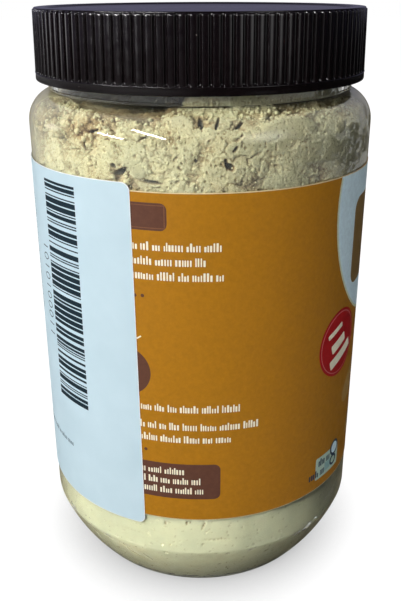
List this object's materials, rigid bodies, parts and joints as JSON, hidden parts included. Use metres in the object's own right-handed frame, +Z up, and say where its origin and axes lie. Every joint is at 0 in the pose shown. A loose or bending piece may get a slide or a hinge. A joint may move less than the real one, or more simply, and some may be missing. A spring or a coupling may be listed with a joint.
{
  "type": "powdered peanut butter jar",
  "caption": "Clear plastic jar filled with pale powder, with a ribbed dark screw lid, a wrap-around paper label and an upright barcode sticker.",
  "frame": {"origin": "centre of the ring that the jar stands on", "axes": "+Z up along the jar's axis, +X towards the label's front panel, -Y towards the label's back panel"},
  "size_m": [0.0995, 0.0994, 0.1692],
  "materials": {
    "clear_plastic": "clear gloss",
    "powder": "matte, finely clumped",
    "lid_plastic": "gloss",
    "label_paper": "satin, printed",
    "sticker_paper": "matte"
  },
  "bodies": {
    "root": {"jar": "clear_plastic", "powder": "powder", "lid": "lid_plastic", "label": "label_paper", "sticker": "sticker_paper"}
  },
  "joints": []
}
